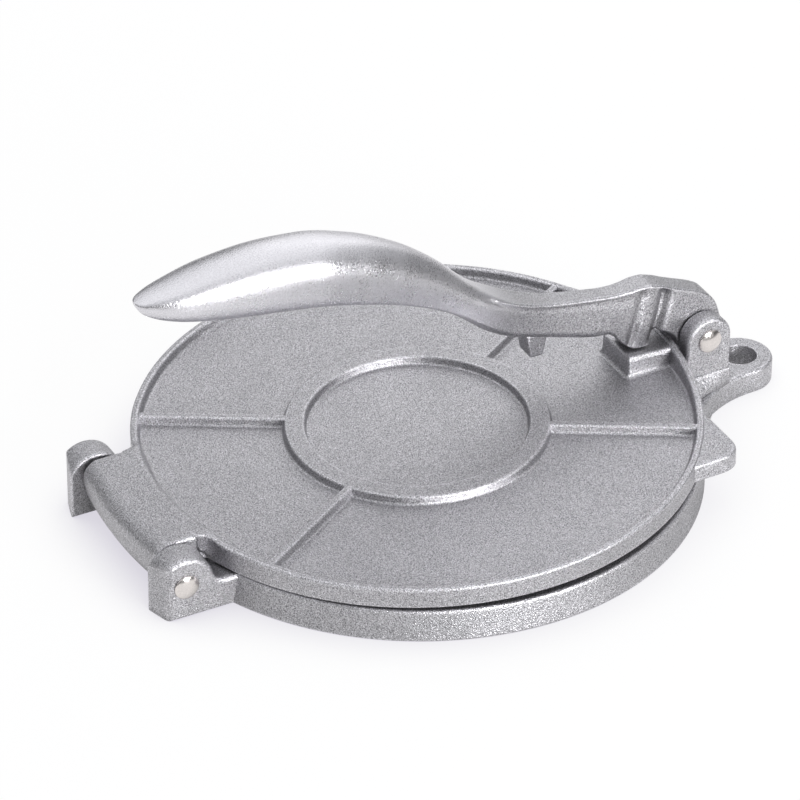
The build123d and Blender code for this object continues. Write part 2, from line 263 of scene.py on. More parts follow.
def rounded_loops(corners: np.ndarray, rounds: object, steps: int = 6, fill: int = 3) -> np.ndarray:
    """Closed outlines with rounded corners.

    Each corner becomes a parabola from a point one rounding length before it to one after it,
    never past the middle of a side, and each straight side gets fill points that crowd
    towards its ends by a cosine.

    Args:
        corners: Corner points (..., K, 2), going round the outline.
        rounds: Rounding length of each corner, (..., K) or anything that fits it.
        steps: Points along each rounded corner.
        fill: Points along each straight side.

    Returns:
        Array (..., K * (steps + fill), 2).
    """
    corners = np.asarray(corners, float)
    to_last = np.roll(corners, 1, axis=-2) - corners
    to_next = np.roll(corners, -1, axis=-2) - corners
    start, end = (
        corners + way * np.minimum(0.5, rounds / np.maximum(np.linalg.norm(way, axis=-1), TINY))[..., None]
        for way in (to_last, to_next)
    )
    t = np.linspace(0, 1, steps)[:, None]
    arc = (1 - t) ** 2 * start[..., None, :] + 2 * t * (1 - t) * corners[..., None, :]
    arc = arc + t**2 * end[..., None, :]
    share = (0.5 - 0.5 * np.cos(math.pi * np.arange(1, fill + 1) / (fill + 1)))[:, None]
    side = end[..., None, :] * (1 - share) + np.roll(start, -1, axis=-2)[..., None, :] * share
    return np.concatenate([arc, side], axis=-2).reshape(corners.shape[:-2] + (-1, 2))


def turned(profile: np.ndarray, count: int) -> np.ndarray:
    """Profile turned about Z: x = radius times cosine, y = radius times sine, z = height.

    Args:
        profile: Radius and height (P, 2), or one such profile for each angle (count, P, 2).
        count: Number of angles.

    Returns:
        Array (count, P, 3).
    """
    angle = np.linspace(0, FULL_TURN, count, endpoint=False)[:, None]
    radius, height = profile[..., 0], profile[..., 1]
    return joined(radius * np.cos(angle), radius * np.sin(angle), height)


def capped(rings: np.ndarray, middle: tuple | None = None) -> np.ndarray:
    """Closes a stack of rings at both ends with fans of quads.

    Args:
        rings: Stack of rings (R, C, 3).
        middle: x and z of the fans' centres, where a ring's mean doesn't see all its outline.

    Returns:
        Array (R + 2, C, 3), whose first and last rows are the fans' centres.
    """
    ends = rings[[0, -1]].mean(axis=1)
    if middle is not None:
        ends[:, [0, 2]] = middle
    fans = np.broadcast_to(ends[:, None], (2,) + rings.shape[1:])
    return np.concatenate([fans[:1], rings, fans[1:]], axis=0)


def quad_grid(rows: int, columns: int, wrap_rows: bool, wrap_columns: bool) -> np.ndarray:
    """Quads of a grid of points.

    Args:
        rows: Rows of the grid.
        columns: Columns of the grid.
        wrap_rows: The last row joins the first.
        wrap_columns: The last column joins the first.

    Returns:
        Corner numbers (F, 4).
    """
    r = np.arange(rows if wrap_rows else rows - 1)[:, None]
    c = np.arange(columns if wrap_columns else columns - 1)[None, :]
    r2, c2 = (r + 1) % rows, (c + 1) % columns
    return joined(r * columns + c, r * columns + c2, r2 * columns + c2, r2 * columns + c).reshape(-1, 4)


def convexity(mesh: bpy.types.Mesh, gain: float = 0.8) -> np.ndarray:
    """How sharply each vertex stands out, about -1 in a tight corner to 1 on a tight edge.

    For each edge, the change of normal along it over its length is added to both its ends; the
    mean is put through a tanh.

    Args:
        mesh: Finished mesh.
        gain: Millimetres of radius that count as tight.

    Returns:
        One value for each vertex.
    """
    count = len(mesh.vertices)
    place, normal = np.empty(count * 3), np.empty(count * 3)
    mesh.vertices.foreach_get("co", place)
    mesh.vertices.foreach_get("normal", normal)
    pair = np.empty(len(mesh.edges) * 2, int)
    mesh.edges.foreach_get("vertices", pair)
    a, b = pair.reshape(-1, 2).T
    along, change = (each.reshape(-1, 3)[b] - each.reshape(-1, 3)[a] for each in (place, normal))
    bend = np.sum(change * along, axis=1) / np.maximum(np.sum(along * along, axis=1), TINY_SQUARE)
    total = np.bincount(a, bend, count) + np.bincount(b, bend, count)
    shares = np.maximum(np.bincount(a, minlength=count) + np.bincount(b, minlength=count), 1)
    return np.tanh(total / shares * gain * MM)


@dataclass
class Component:
    """One component of the press: its finish, and the body, slot and CAD node of all its pieces."""

    finish: Material
    body: ClassVar[Body]
    slot: ClassVar[Slot]
    node: ClassVar[str]

    def place(
        self,
        name: str,
        points: np.ndarray,
        wrap_rows: bool = False,
        wrap_columns: bool = True,
        marks: dict[str, np.ndarray] | None = None,
    ) -> None:
        """Makes a piece from a grid of points, closes its seams and poles, and hands it to its body.

        Rows that shrink to a point close the piece with a fan, which stays flat shaded.

        Args:
            name: Name of the Blender object.
            points: Grid (R, C, 3) in the press's frame, in millimetres.
            wrap_rows: The last row joins the first.
            wrap_columns: The last column joins the first.
            marks: Values from 0 to 1 for each grid point, kept as attributes for the finish.
        """
        rows, columns = points.shape[:2]
        mesh = bpy.data.meshes.new(name)
        quads = quad_grid(rows, columns, wrap_rows, wrap_columns)
        mesh.from_pydata((points.reshape(-1, 3) * MM).tolist(), [], quads.tolist())
        smooth = np.ones(len(quads), bool)
        if not wrap_rows and np.ptp(points[0], axis=0).max() < TINY:
            smooth[:columns] = smooth[-columns:] = False
        mesh.polygons.foreach_set("use_smooth", smooth)
        for mark, values in (marks or {}).items():
            mesh.attributes.new(mark, "FLOAT", "POINT").data.foreach_set("value", values.ravel())
        shell = bmesh.new()
        shell.from_mesh(mesh)
        bmesh.ops.remove_doubles(shell, verts=shell.verts, dist=SAME_POINT)
        bmesh.ops.dissolve_degenerate(shell, edges=shell.edges, dist=NO_LENGTH)
        bmesh.ops.recalc_face_normals(shell, faces=shell.faces)
        shell.to_mesh(mesh)
        shell.free()
        mesh.update()
        mesh.attributes.new("edge", "FLOAT", "POINT").data.foreach_set("value", convexity(mesh))
        mesh.materials.append(self.finish)
        thing = bpy.data.objects.new(name, mesh)
        bpy.context.scene.collection.objects.link(thing)
        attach(thing, self.body.value)
        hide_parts(self.node)
        log.info("%s: %d faces on %s", name, len(mesh.polygons), self.body.value)


# Finishes


class Sheet:
    """A material's or world's node tree, with short ways to add and join nodes."""

    tint: ClassVar[tuple] = (1.004, 0.99, 1.036)
    slant: ClassVar[tuple] = (0.61, 0.47, 0.35)
    noise_middle: ClassVar[tuple] = (0.3, 0.7)

    def __init__(self, owner: Material | bpy.types.World) -> None:
        """Starts the owner's tree anew.

        Args:
            owner: Material or world whose tree it is.
        """
        self.owner = owner
        owner.use_nodes = True
        self.tree = owner.node_tree
        self.tree.nodes.clear()

    def add(self, kind: str, inputs: dict | None = None, **settings: object) -> bpy.types.NodeOutputs:
        """Adds a node.

        Args:
            kind: Blender's node type.
            inputs: Socket name or number to a value, or to another node's output.
            settings: Properties of the node.

        Returns:
            The new node's outputs.
        """
        node = self.tree.nodes.new(kind)
        for key, value in settings.items():
            setattr(node, key, value)
        for key, value in (inputs or {}).items():
            if isinstance(value, Socket):
                self.tree.links.new(value, node.inputs[key])
            else:
                node.inputs[key].default_value = value
        return node.outputs

    def place(self) -> Socket:
        """Object coordinates."""
        return self.add("ShaderNodeTexCoord")["Object"]

    def slanted(self) -> Socket:
        """Object coordinates turned askew, so that no flat face lies along a noise's own grid."""
        return self.add("ShaderNodeMapping", {"Vector": self.place(), "Rotation": self.slant})[0]

    def noise(self, where: Socket, size_mm: float, detail: float = 2.0) -> Socket:
        """Noise whose grains are about size_mm across."""
        inputs = {"Vector": where, "Scale": 1.0 / (size_mm * MM), "Detail": detail}
        return self.add("ShaderNodeTexNoise", inputs)["Fac"]

    def mark(self, name: str) -> Socket:
        """The piece's own attribute of that name."""
        return self.add("ShaderNodeAttribute", attribute_name=name)["Fac"]

    def span(self, value: Socket, low: float, high: float, to: tuple) -> Socket:
        """Maps value from low..high to the two numbers of to, held at its ends."""
        inputs = {"Value": value, "From Min": low, "From Max": high, "To Min": to[0], "To Max": to[1]}
        return self.add("ShaderNodeMapRange", inputs)["Result"]

    def grade(self, noise: Socket, to: tuple) -> Socket:
        """Maps the middle of a noise's range to the two numbers of to."""
        return self.span(noise, *self.noise_middle, to)

    def calc(self, operation: str, a: object, b: object) -> Socket:
        """Result of a Math node's operation on two numbers."""
        return self.add("ShaderNodeMath", {0: a, 1: b}, operation=operation)[0]

    def plus(self, a: object, b: object) -> Socket:
        """Sum of two numbers."""
        return self.calc("ADD", a, b)

    def times(self, a: object, b: object) -> Socket:
        """Product of two numbers."""
        return self.calc("MULTIPLY", a, b)

    def tinted(self, level: float, tone: Socket, tint: tuple = tint) -> Socket:
        """Colour of a metal: its reflectance in each channel, times tone."""
        inputs = {0: tuple(level * share for share in tint), "Scale": tone}
        return self.add("ShaderNodeVectorMath", inputs, operation="SCALE")[0]

    def mix(self, share: object, a: object, b: object) -> Socket:
        """Number that goes from a at share 0 to b at share 1."""
        return self.add("ShaderNodeMix", {"Factor": share, "A": a, "B": b}, data_type="FLOAT")[0]

    def blend(self, share: object, a: object, b: object) -> Socket:
        """Colour that goes from a at share 0 to b at share 1."""
        return self.add("ShaderNodeMix", {"Factor": share, 6: a, 7: b}, data_type="RGBA")[2]

    def glow(self, **inputs: object) -> Socket:
        """Surface that gives light by itself."""
        return self.add("ShaderNodeEmission", inputs)[0]

    def either(self, share: object, a: object, b: object) -> Socket:
        """Shader a at share 0, shader b at share 1."""
        return self.add("ShaderNodeMixShader", {0: share, 1: a, 2: b})[0]

    def finish(self, shader: Socket) -> Material:
        """Joins the shader to the output and returns the material."""
        self.add("ShaderNodeOutputMaterial", {"Surface": shader})
        return self.owner

    def metal(self, colour: Socket, rough: Socket, height: Socket, strength: float, depth_mm: float) -> Material:
        """Ends the sheet as bare metal.

        Args:
            colour: Its colour.
            rough: Its roughness.
            height: Height of the fine relief, from 0 to 1.
            strength: Strength of the bump.
            depth_mm: Depth of the relief in millimetres.

        Returns:
            The material.
        """
        bump = self.add("ShaderNodeBump", {"Strength": strength, "Distance": depth_mm * MM, "Height": height})[0]
        inputs = {"Base Color": colour, "Metallic": 1.0, "Roughness": rough, "Normal": bump}
        return self.finish(self.add("ShaderNodeBsdfPrincipled", inputs)[0])


@dataclass(frozen=True)
class Sand:
    """Skin of sand-cast metal: reflectance, grain in millimetres and its noise's detail.

    The tones are those between the grains and on them. An edge pales from the first of its two edge
    convexities to the second: partly rubbed wear, partly a painted edge highlight.
    """

    level: float = 0.45
    grain: float = 0.38
    detail: float = 1.5
    tones: tuple = (0.32, 1.62)
    # Edge convexities and tones of the paled edges: partly rubbed wear, partly a painted edge highlight.
    wear_and_sheen_edges: tuple = (0.05, 0.3)
    wear_and_sheen_tones: tuple = (1.0, 1.3)

    def noise(self, sheet: Sheet, where: Socket) -> Socket:
        """The grain's noise."""
        return sheet.noise(where, self.grain, self.detail)

    def wear_and_sheen(self, sheet: Sheet, edge: Socket) -> Socket:
        """Tone of paled convex edges: partly rubbed wear, partly a painted edge highlight."""
        return sheet.span(edge, *self.wear_and_sheen_edges, self.wear_and_sheen_tones)


@dataclass(frozen=True)
class CastFinish:
    """Sand-cast aluminium: grey metal with a fine sparkle and pale edges, partly rubbed wear and partly a painted
    edge highlight.

    Sparkle is how far the roughness goes either way, and ragged how far the coarse grain shifts
    the paled edges. The coarse grain's size and height are shares of the fine one's.
    """

    name: str
    sand: Sand = Sand()
    roughness: float = 0.41
    sparkle: float = 0.1
    coarse_share: float = 2.2
    coarse_weight: float = 0.5
    cloud_mm: float = 22.0
    cloud_tones: tuple = (0.96, 1.03)
    ragged: float = 0.12

    def material(self) -> Material:
        """Makes the material.

        Grain noise drives bump, tone and roughness together, a wide noise adds faint clouds,
        and the edge attribute pales convex edges (partly rubbed wear, partly a painted edge
        highlight) and, less so, the feet of walls as a painted highlight.

        Returns:
            The material.
        """
        sheet = Sheet(bpy.data.materials.new(self.name))
        where = sheet.slanted()
        grain = self.sand.noise(sheet, where)
        coarse = sheet.noise(where, self.sand.grain * self.coarse_share)
        cloud = sheet.noise(where, self.cloud_mm, 3.0)
        edge = sheet.mark("edge")
        tone = sheet.times(sheet.grade(grain, self.sand.tones), sheet.grade(cloud, self.cloud_tones))
        # Convex edges pale: partly rubbed wear, partly a painted edge highlight, made ragged by the coarse grain.
        wear_and_sheen = self.sand.wear_and_sheen(sheet, sheet.plus(edge, sheet.grade(coarse, (-self.ragged, self.ragged))))
        # Painted highlight: concave feet of walls are paled by up to a tenth.
        sunk = sheet.span(edge, -0.55, -0.1, (1.1, 1.0))
        colour = sheet.tinted(self.sand.level, sheet.times(sheet.times(tone, wear_and_sheen), sunk))
        rough = sheet.grade(grain, (self.roughness + self.sparkle, self.roughness - self.sparkle))
        height = sheet.plus(grain, sheet.times(coarse, self.coarse_weight))
        return sheet.metal(colour, rough, height, strength=0.9, depth_mm=0.24)


@dataclass(frozen=True)
class LeverFinish:
    """The lever's metal: ground bright on the handle and along the top of the arm, cast elsewhere.

    Pairs give the value between the grains and on them, or in the scratches and between them.
    The belt's turn is in radians, and its squeeze makes the scratches finer across their run.
    """

    name: str
    sand: Sand = Sand(level=0.38, grain=0.42)
    cast_roughness: tuple = (0.5, 0.32)
    coarse_mm: float = 1.1
    ground_level: float = 0.72
    ground_tones: tuple = (0.88, 1.08)
    ground_roughness: tuple = (0.24, 0.36)
    belt_turn: tuple = (0.35, 0.2, 0.6)
    belt_squeeze: tuple = (1.0, 1.7, 1.7)
    scratch_mm: float = 0.8
    smear_mm: float = 9.0
    smear_roughness: tuple = (-0.03, 0.04)

    def material(self) -> Material:
        """Makes the material.

        The ground attribute mixes two metals. The ground one has fine slanted scratches, from a
        noise stretched along the belt's run, that break up its reflections.

        Returns:
            The material.
        """
        sheet = Sheet(bpy.data.materials.new(self.name))
        where = sheet.slanted()
        ground = sheet.mark("ground")
        grain = self.sand.noise(sheet, where)
        coarse = sheet.noise(where, self.coarse_mm)
        belt = {"Vector": where, "Rotation": self.belt_turn, "Scale": self.belt_squeeze}
        scratch = sheet.noise(sheet.add("ShaderNodeMapping", belt)[0], self.scratch_mm)
        smear = sheet.noise(where, self.smear_mm, 3.0)
        # Convex edges of the cast parts pale: partly rubbed wear, partly a painted edge highlight.
        cast_tone = sheet.times(sheet.grade(grain, self.sand.tones), self.sand.wear_and_sheen(sheet, sheet.mark("edge")))
        cast_colour = sheet.tinted(self.sand.level, cast_tone)
        ground_colour = sheet.tinted(self.ground_level, sheet.grade(scratch, self.ground_tones))
        cast_rough = sheet.grade(grain, self.cast_roughness)
        ground_rough = sheet.grade(scratch, self.ground_roughness)
        ground_rough = sheet.plus(ground_rough, sheet.grade(smear, self.smear_roughness))
        cast_height = sheet.plus(grain, sheet.times(coarse, 0.5))
        ground_height = sheet.plus(sheet.times(scratch, 0.6), sheet.times(grain, 0.5))
        return sheet.metal(
            sheet.blend(ground, cast_colour, ground_colour),
            sheet.mix(ground, cast_rough, ground_rough),
            sheet.mix(ground, cast_height, ground_height),
            strength=0.8,
            depth_mm=0.2,
        )


@dataclass(frozen=True)
class PinFinish:
    """Polished steel of the rivets, faintly warm; tones and roughness are those across its wear."""

    name: str
    level: float = 0.74
    tint: tuple = (1.0, 0.94, 0.91)
    wear_mm: float = 0.7
    tones: tuple = (0.94, 1.04)
    roughness: tuple = (0.14, 0.24)

    def material(self) -> Material:
        """Makes the material, in which a fine noise varies tone, gloss and height.

        Returns:
            The material.
        """
        sheet = Sheet(bpy.data.materials.new(self.name))
        wear = sheet.noise(sheet.place(), self.wear_mm, 3.0)
        colour = sheet.tinted(self.level, sheet.grade(wear, self.tones), self.tint)
        return sheet.metal(colour, sheet.grade(wear, self.roughness), wear, strength=0.05, depth_mm=0.03)


# Castings


@dataclass
class Lid(Component):
    """The cast lid: plate with a rim, ring, ribs, pad, hinge lug and finger tab.

    Heights are over the hinge axis, square to the plate; angles count from the pad. A rise is
    a row of angles with the rim's extra height there, and lug_back one of angles about the pin
    with the lug's radius there.
    """

    body: ClassVar[Body] = Body.LID
    slot: ClassVar[Slot] = Slot.LID
    node: ClassVar[str] = "lid"
    ring_radius: float = 47.0
    ring_height: float = 3.0
    ring_run: float = 0.8
    recess_radius: float = 40.0
    recess_run: float = 0.6
    rim_width: float = 2.6
    rim_run: float = 0.8
    lug_run: float = 2.0
    flare: float = 6.0
    pad_rise: tuple = ((0, 4.3), (3, 4.2), (8, 3.35), (15, 2.2), (20, 1.5), (25, 0.5), (29, 0.0))
    lug_rise: tuple = ((142, 0.0), (148, 0.7), (155, 0.95), (159.5, 1.1), (163.6, 3.3), (165, 3.36), (180, 3.36))
    lug_spread: tuple = (156.0, 166.0)
    lug_ease: float = 1.2
    lug_bow: float = 160.0
    lug_back: tuple = (
        (5, 10.2), (90, 10.2), (120, 8.9), (148, 7.7), (180, 7.9),
        (205, 9.2), (222, 10.4), (240, 10.75), (254.6, 10.58),
    )
    lug_dip: float = 0.012
    rib_angle: float = 31.3
    rib_half: float = 1.3
    rib_run: float = 0.85
    rib_rounds: tuple = (0.1, 0.1, 0.8, 0.5)
    pad_start: float = 80.5
    pad_end: float = 100.4
    pad_half: float = 9.9
    pad_inner_height: float = 11.65
    pad_outer_height: float = 10.2
    pad_flare: float = 1.5
    pad_ease: float = 1.0
    pad_draft: float = 0.5
    pad_corner: float = 1.4
    finger_edge: float = 91.4
    finger_front: float = -72.5
    finger_round: float = 9.0
    finger_thickness: float = 7.0
    finger_drop: float = 0.2
    finger_ease: float = 1.2
    mark_place: tuple = (84.9, -63.6, 0.0)
    mark_radii: tuple = (1.3, 1.9, 1.75, 1.45)
    mark_height: float = 0.14

    def place(self, name: str, points: np.ndarray, **options: object) -> None:
        """Makes a piece from points of the lid's frame."""
        super().place(name, SIZES.lid_to_press(points), **options)

    def plate(self) -> None:
        """Plate, rim, ring and recess.

        A rounded profile for each angle, turned about the disc's middle: the rim rises at the
        pad and at the lug. Beside the lug its outer wall flares along a circle that touches both
        the disc and the lug's side: r = d cos(a) - sqrt(f^2 - (d sin(a))^2), with a the angle
        from the circle's centre, d that centre's distance and f its radius.
        """
        s = SIZES
        count = 720
        off_pad = np.abs((np.linspace(0, 360, count, endpoint=False) + 180) % 360 - 180)
        near, far = np.array(self.pad_rise).T, np.array(self.lug_rise).T
        rise = flowing(*near, np.minimum(off_pad, near[0, -1])) + flowing(*far, np.maximum(off_pad, far[0, 0]))
        spread = smooth_step(off_pad, *self.lug_spread)
        inner = s.lid_radius - self.rim_width
        foot = inner - between(self.rim_run, self.lug_run, spread)
        centre = s.lid_radius + self.flare
        widest = math.asin((s.lug_half + self.flare) / centre)
        narrowest = math.atan2(s.lug_half, centre * math.cos(widest))
        swing = np.clip(np.radians(180 - off_pad), narrowest, widest) - widest
        dip = np.clip(self.flare**2 - (centre * np.sin(swing)) ** 2, 0, None)
        outer = centre * np.cos(swing) - np.sqrt(dip)
        floor, ledge, top = s.lid_floor, s.lid_floor + self.ring_height, s.rim_top + rise
        # Radius, height and rounding of each corner, from the underside to the recess's floor
        corners = [
            (0, s.lid_under, 0.0),
            (s.lid_radius, s.lid_under, 0.7),
            (outer, floor, 0.5),
            (outer, top, 1.0),
            (inner, top, 0.8 + 1.6 * spread),
            (foot, floor, 1.0 + 1.5 * spread),
            (self.ring_radius + self.ring_run, floor, 0.8),
            (self.ring_radius, ledge, 0.6),
            (self.recess_radius, ledge, 0.6),
            (self.recess_radius - self.recess_run, floor, 0.8),
            (0, floor, 0.0),
        ]
        table = np.stack([joined(radius + 0 * rise, height, size) for radius, height, size in corners], axis=1)
        steps, fill = 6, 4
        loops = rounded_loops(table[..., :2], table[..., 2], steps, fill)[:, :-fill]
        self.place("lid_plate", turned(loops, count), wrap_rows=True, wrap_columns=False)

    def ribs(self) -> None:
        """Four ribs: a drafted section with flared feet, carried along a radius."""
        s = SIZES
        foot, top = s.lid_floor - 0.02, s.lid_floor + self.ring_height - 0.06
        wide = self.rib_half + self.rib_run
        section = [(-wide - 3, foot - 0.8), (-wide - 3, foot), (-wide, foot), (-self.rib_half, top)]
        corners = section + [(-y, z) for y, z in reversed(section)]
        across, up = rounded_loops(corners, np.array(self.rib_rounds + self.rib_rounds[::-1]), 6, 2).T
        start = 0.5 * (self.recess_radius + self.ring_radius)
        along = np.linspace(start, s.lid_radius - 0.5 * self.rim_width, 40)[:, None]
        quarters = (self.rib_angle, 180 - self.rib_angle, 180 + self.rib_angle, 360 - self.rib_angle)
        for number, degrees in enumerate(quarters, start=1):
            turn = math.radians(degrees)
            x = along * math.cos(turn) - across * math.sin(turn)
            y = along * math.sin(turn) + across * math.cos(turn)
            self.place(f"lid_rib_{number}", capped(joined(x, y, up)))

    def pad(self) -> None:
        """Pad under the lever: rings of a rounded rectangle, flared at the foot, eased at the top.

        Each ring is set out or in by an offset and lies at a share of the height between the
        floor and the sloping top.
        """
        s = SIZES
        rise, fall = quarter()
        flare, ease, draft = self.pad_flare, self.pad_ease, self.pad_draft
        wall = 0.5 * (self.pad_inner_height + self.pad_outer_height) - s.lid_floor
        side = np.linspace(0.3, 0.85, 5)
        levels = [
            joined(flare * fall, flare * rise / wall - 0.004),
            joined(-draft * side, side),
            joined(-draft - ease * rise, 1 - ease * fall / wall),
            joined(-draft - ease - np.array([1.0, 3.0, 5.5]), 1.0),
        ]
        offset, share = np.concatenate(levels).T
        half = self.pad_half + offset
        corners = rectangle(self.pad_start - offset, self.pad_end, -half, half)
        loops = rounded_loops(corners, np.clip(self.pad_corner + offset, 0.5, None)[:, None], 7, 6)
        x, y = loops[..., 0], loops[..., 1]
        along = (x - self.pad_start) / (self.pad_end - self.pad_start)
        top = between(self.pad_inner_height, self.pad_outer_height, along)
        self.place("lid_pad", capped(joined(x, y, between(s.lid_floor, top, share[:, None]))))

    def lug(self) -> None:
        """Hinge lug: a block round the pin whose flat top runs onto the rim.

        The side outline, worked out for each layer across the press, is a radius about the pin
        that varies with the angle, the flat top that dips gently under the rim, and a hidden
        return. The back bows out in plan as an arc, and layers near the ends draw in by
        r(1 - cos t) to round the edge.
        """
        s = SIZES
        y, inset = layers(s.lug_half, -s.lug_half, self.lug_ease, self.lug_ease, 30)
        back_line = np.array(self.lug_back).T
        degrees = np.linspace(back_line[0, 0], back_line[0, -1], 72)
        radius = flowing(*back_line, degrees) - inset[:, None]
        arc = circle(-s.hinge_reach, 0.0, radius, -np.radians(degrees))
        bow = self.lug_bow - np.sqrt(self.lug_bow**2 - y**2)
        arc[..., 0] += bow[:, None] * smooth_step(-s.hinge_reach - arc[..., 0], -1.0, 5.0)
        rim_middle = s.lid_radius - 0.6 * self.rim_width
        end = -np.sqrt(rim_middle**2 - y**2)[:, None]
        flat_x = between(arc[:, -1:, 0], end, np.linspace(0, 1, 14)[1:])
        sunk = self.lug_dip * np.clip(flat_x + s.hinge_reach - 6.0, 0, None) ** 2
        flat = joined(flat_x, arc[:, -1:, 1] - sunk)
        back = joined(end, np.array([0.5 * s.rim_top, 0.0]))
        loops = np.concatenate([arc, flat, back], axis=1)
        self.place("lid_lug", capped(across_press(loops, y[:, None])))

    def finger_tab(self) -> None:
        """Finger tab: a rounded corner beyond the rim, its edges eased, closed along the rim's arc."""
        s = SIZES
        low = s.lid_under + self.finger_drop
        high = low + self.finger_thickness
        ease = self.finger_ease
        flat = [(ease + more, high) for more in (1.5, 4.0, 8.0)]
        inset, z = np.concatenate([[(ease + 4.0, low)], slab_edge(low, high, ease), flat]).T
        hidden = s.lid_radius - 0.5 * self.rim_width
        edge, front = self.finger_edge - inset, self.finger_front + inset
        start = np.arctan2(-np.sqrt(hidden**2 - edge**2), edge)[:, None]
        stop = np.arctan2(front, np.sqrt(hidden**2 - front**2))[:, None]
        arc = circle(0.0, 0.0, hidden, between(stop, start, np.linspace(0, 1, 14)))
        corners = np.stack([arc[:, -1], joined(edge, front), arc[:, 0]], axis=1)
        rounds = joined(0 * inset, np.clip(self.finger_round - inset, 1.0, None), 0 * inset)
        steps, fill = 12, 8
        shown = rounded_loops(corners, rounds, steps, fill)[:, steps : 2 * (steps + fill)]
        loops = np.concatenate([arc, shown], axis=1)
        self.place("lid_finger_tab", capped(at_heights(loops, z[:, None])))

    def ejector_mark(self) -> None:
        """Shallow round ejector mark on the finger tab: a low eased ring, turned."""
        high = SIZES.lid_under + self.finger_drop + self.finger_thickness
        heights = (high - 0.3, high - 0.3, high + self.mark_height, high + self.mark_height)
        corners = joined(self.mark_radii, heights)
        profile = rounded_loops(corners, np.array([0.05, 0.05, 0.1, 0.1]), 4, 1)
        self.place("lid_ejector_mark", turned(profile, 48) + self.mark_place, wrap_rows=True)

    def make(self) -> None:
        """Builds every piece of the lid."""
        for part in (self.plate, self.ribs, self.pad, self.lug, self.finger_tab, self.ejector_mark):
            part()


